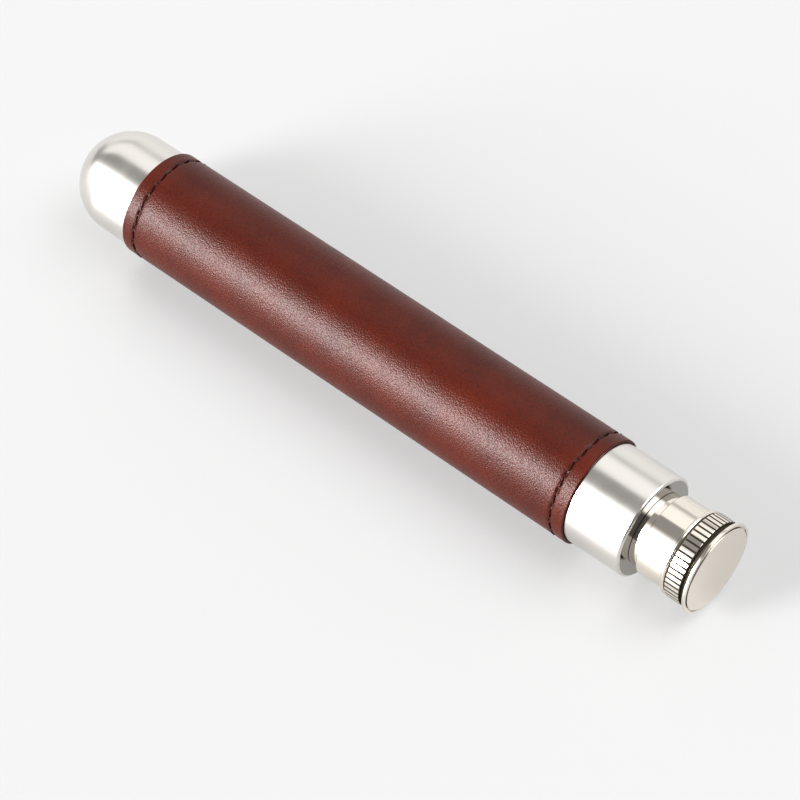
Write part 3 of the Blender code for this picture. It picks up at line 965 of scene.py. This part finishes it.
class FLASK_OT_cap_inside(bpy.types.Operator):
    """Mould the threaded liner and the sealing disc inside the cap"""

    bl_idname = "flask.cap_inside"
    bl_label = "Liner and Seal"

    thread_root = 0.00835
    thread_crest = 0.00755
    thread_turns = 2.0
    turns_below_rim = 2.7  # where the liner's thread starts, from the neck's rim

    def execute(self, context):
        cap = context.scene.flask_cap
        pitch = context.scene.flask_steel.thread_pitch
        plastic = moulded("moulded polypropylene", cap.liner, 0.42, 0.0002)
        rubber = moulded("moulded silicone", cap.seal, 0.55, 0.0003)
        start, end = span("cap_thread_liner")
        outer = half_height("cap_thread_liner")
        seal_start, seal_end = span("cap_seal_disc")
        ceiling = seal_end + FIT_GAP
        liner = turned([
            (0.0, end, 0.0),
            (outer, end, 0.0001),
            (outer, start, 0.0001),
            (self.thread_root, start, 0.0001),
            (self.thread_root, ceiling, 0.0),
            (0.0, ceiling, 0.0),
        ], closed=False)
        thread_start = NECK_RIM - self.turns_below_rim * pitch
        ridge = helical_ridge(self.thread_root, self.thread_crest, thread_start, self.thread_turns, pitch)
        threaded = united(liner, ridge)
        finish_piece(threaded, "thread_liner", "cap", [plastic], ["cap_thread_liner"])
        radius = half_height("cap_seal_disc")
        seal = turned([
            (0.0, seal_end, 0.0),
            (radius, seal_end, 0.0001),
            (radius, seal_start, 0.0001),
            (0.0, seal_start, 0.0),
        ], closed=False)
        finish_piece(seal, "sealing_disc", "seal", [rubber], ["cap_seal_disc"])
        return {"FINISHED"}


# ---- studio ----
class FLASK_OT_studio(bpy.types.Operator):
    """Lay a pale floor, light it softly and set up the camera"""

    bl_idname = "flask.studio"
    bl_label = "Studio"

    floor_size = 8.0
    # the floor reflects only this share of its colour; its painted glow gives the rest of its brightness
    floor_albedo = 0.26
    camera_target = Vector((0.0105, -0.0085, 0.0129))
    view_gamma = 0.85  # deepens the middle tones a little

    def execute(self, context):
        studio = context.scene.flask_studio
        self.lay_floor(studio)
        self.light(context.scene, studio)
        self.set_camera(context.scene, studio)
        return {"FINISHED"}

    def lay_floor(self, studio):
        material, tree, shader = new_material("satin white acrylic sheet")
        place = add_node(tree, "TexCoord").outputs["Object"]
        haze = add_node(tree, "TexNoise", {"Vector": place, "Scale": 1 / 0.05, "Detail": 2.0})
        rough = add_node(tree, "MapRange", {"Value": haze.outputs[0], "To Min": 0.35, "To Max": 0.45})
        feed(tree, shader, {
            "Base Color": (*(Vector(studio.floor) * self.floor_albedo), 1.0),
            "Roughness": rough.outputs[0],
            "Specular IOR Level": 0.2,
            # painted light: the floor's own glow
            "Emission Color": (*studio.floor, 1.0),
            "Emission Strength": studio.floor_painted_glow,
        })
        bm = bmesh.new()
        bmesh.ops.create_grid(bm, x_segments=2, y_segments=2, size=self.floor_size / 2)
        floor = new_object(bm, "studio_floor")
        floor.data.materials.append(material)

    def light(self, scene, studio):
        """Soft panels that hang along the flask, over its front and its back, with a gap between them."""
        world = scene.world or bpy.data.worlds.new("studio")
        scene.world = world
        world.use_nodes = True
        tree = world.node_tree
        parts = add_node(tree, "SeparateXYZ", {0: add_node(tree, "TexCoord").outputs["Generated"]}).outputs
        front = add_node(tree, "Math", {0: parts["Y"], 1: -1.0}, operation="MULTIPLY")
        rise = add_node(tree, "Math", {0: parts["Z"], 1: front.outputs[0]}, operation="ARCTAN2")
        degrees = add_node(tree, "Math", {0: rise.outputs[0]}, operation="DEGREES").outputs[0]
        along = parts["X"]
        room = self.patch(tree, degrees, (-20, -5, 185, 200), along, (-3, -2, 2, 3), 0.24)
        wall = self.patch(tree, degrees, (-8, -2, 182, 190), along, (-3, -2, -0.10, 0.15), 0.17)
        key = self.patch(tree, degrees, (2, 12, 29, 43), along, (-0.58, -0.51, -0.34, -0.27), 47.0)
        fill = self.patch(tree, degrees, (-2, 6, 42, 66), along, (-1.0, -0.93, -0.30, -0.10), 2.0)
        back = self.patch(tree, degrees, (92, 98, 126, 150), along, (-1.0, -0.9, 0.5, 0.8), 0.85)
        low = self.patch(tree, degrees, (140, 152, 178, 188), along, (-1.0, -0.9, 0.5, 0.8), 0.70)
        top = self.patch(tree, degrees, (72, 90, 130, 150), along, (-0.08, 0.10, 0.60, 0.80), 3.3)
        total = room
        for panel in (wall, key, fill, back, low, top):
            total = add_node(tree, "Math", {0: total, 1: panel}, operation="ADD").outputs[0]
        feed(tree, tree.nodes["Background"], {"Color": total, "Strength": studio.light})

    def patch(self, tree, degrees, angles, along, reach, strength):
        """Light from a patch of the surround: none at its outer limits, and full strength between the inner."""
        light = strength
        for place, (outer, inner, inner_end, outer_end) in ((degrees, angles), (along, reach)):
            for edge, full in ((outer, inner), (outer_end, inner_end)):
                ramp = add_node(
                    tree, "MapRange", {"Value": place, "From Min": edge, "From Max": full},
                    interpolation_type="SMOOTHSTEP",
                )
                dimmed = add_node(tree, "Math", {0: light, 1: ramp.outputs[0]}, operation="MULTIPLY")
                light = dimmed.outputs[0]
        return light

    def set_camera(self, scene, studio):
        scene.view_settings.view_transform = "Standard"
        scene.view_settings.gamma = self.view_gamma
        camera = bpy.data.objects.new("camera", bpy.data.cameras.new("camera"))
        scene.collection.objects.link(camera)
        level = math.cos(studio.camera_rise)
        back = Vector((
            math.sin(studio.camera_angle) * level,
            -math.cos(studio.camera_angle) * level,
            math.sin(studio.camera_rise),
        ))
        camera.location = self.camera_target + back * studio.camera_distance
        camera.rotation_euler = back.to_track_quat("Z", "Y").to_euler()
        camera.data.lens = studio.camera_lens
        camera.data.clip_start = studio.camera_distance / 100
        camera.data.clip_end = 2 * self.floor_size
        scene.camera = camera


# ---- add-on ----
class FLASK_PT_sidebar(bpy.types.Panel):
    bl_idname = "FLASK_PT_sidebar"
    bl_label = "Hip Flask"
    bl_space_type = "VIEW_3D"
    bl_region_type = "UI"
    bl_category = "Flask"

    def draw(self, context):
        layout = self.layout
        for group, operators in SECTIONS.items():
            box = layout.box()
            settings = getattr(context.scene, group)
            for name in settings.__annotations__:
                box.prop(settings, name)
            for operator in operators:
                box.operator(operator.bl_idname)


GROUPS = {
    "flask_studio": FlaskStudioSettings,
    "flask_steel": FlaskSteelSettings,
    "flask_wrap": FlaskWrapSettings,
    "flask_cap": FlaskCapSettings,
}
SECTIONS = {
    "flask_studio": [FLASK_OT_studio],
    "flask_steel": [FLASK_OT_steel_body, FLASK_OT_neck],
    "flask_wrap": [FLASK_OT_leather_wrap, FLASK_OT_stitches],
    "flask_cap": [FLASK_OT_cap_shell, FLASK_OT_cap_inside],
}
OPERATORS = [operator for operators in SECTIONS.values() for operator in operators]


def register():
    for cls in (*GROUPS.values(), *OPERATORS, FLASK_PT_sidebar):
        bpy.utils.register_class(cls)
    for name, group in GROUPS.items():
        setattr(bpy.types.Scene, name, PointerProperty(type=group))


def unregister():
    for name in GROUPS:
        delattr(bpy.types.Scene, name)
    for cls in (FLASK_PT_sidebar, *reversed(OPERATORS), *reversed(GROUPS.values())):
        bpy.utils.unregister_class(cls)


def main():
    register()
    for operator in OPERATORS:
        getattr(bpy.ops.flask, operator.bl_idname.split(".")[1])()


if __name__ == "__main__":
    main()
